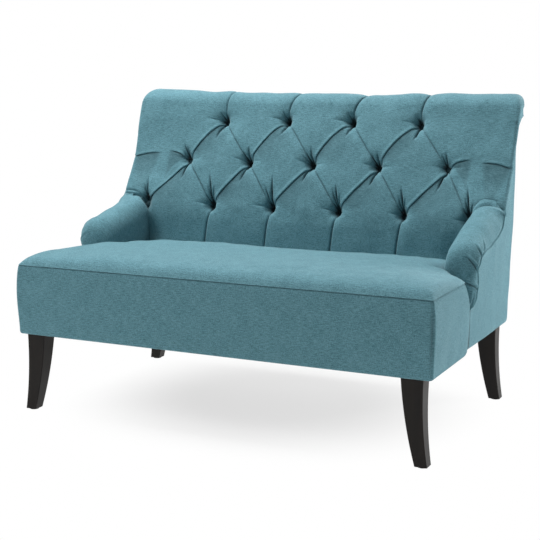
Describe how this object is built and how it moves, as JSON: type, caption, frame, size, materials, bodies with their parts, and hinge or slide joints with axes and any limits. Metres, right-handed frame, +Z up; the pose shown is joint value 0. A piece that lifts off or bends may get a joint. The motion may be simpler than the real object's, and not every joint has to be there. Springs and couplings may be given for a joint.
{
  "type": "settee",
  "caption": "Low settee to seat people side by side: raked deep-buttoned back rolled over at the top, low swept arms, crowned tight seat, flared dark sabre legs.",
  "frame": {"origin": "on the floor, under the middle of the settee's bounding box", "axes": "+X to the sitter's left (right in the picture), -Y to the front, +Z up"},
  "size_m": [1.1802, 0.806, 0.845],
  "materials": {
    "teal_weave": "heathered linen-look weave",
    "foam": "soft open-cell foam",
    "frame_wood": "sawn, unfinished",
    "leg_wood": "espresso stain, satin",
    "lining_cloth": "non-woven lining",
    "webbing": "woven elastic webbing",
    "zinc_steel": "zinc plated",
    "glide_plastic": "moulded"
  },
  "bodies": {
    "root": {"front_rail": "frame_wood", "rear_rail": "frame_wood", "left_side_rail": "frame_wood", "right_side_rail": "frame_wood", "seat_braces": "frame_wood", "corner_blocks": "frame_wood", "rear_leg_blocks": "frame_wood", "left_side_frame": "frame_wood", "right_side_frame": "frame_wood", "back_top_rail": "frame_wood", "back_tack_rail": "frame_wood", "back_uprights": "frame_wood", "rear_batten": "frame_wood", "seat_webbing": "webbing", "back_webbing": "webbing", "deck_cloth": "lining_cloth", "dust_cover": "lining_cloth", "seat_foam": "foam", "seat_rail_pad": "foam", "seat_border": "teal_weave", "seat_top_cover": "teal_weave", "back_foam": "foam", "buttoned_back_pad": "teal_weave", "back_buttons": "teal_weave", "button_ties": "lining_cloth", "button_washers": "lining_cloth", "left_arm_pad": "teal_weave", "right_arm_pad": "teal_weave", "left_outside_panel": "teal_weave", "right_outside_panel": "teal_weave", "outside_back_panel": "teal_weave", "front_left_leg": "leg_wood", "front_right_leg": "leg_wood", "rear_left_leg": "leg_wood", "rear_right_leg": "leg_wood", "leg_glides": "glide_plastic", "leg_bolts": "zinc_steel", "leg_inserts": "zinc_steel", "frame_screws": "zinc_steel"}
  },
  "joints": []
}
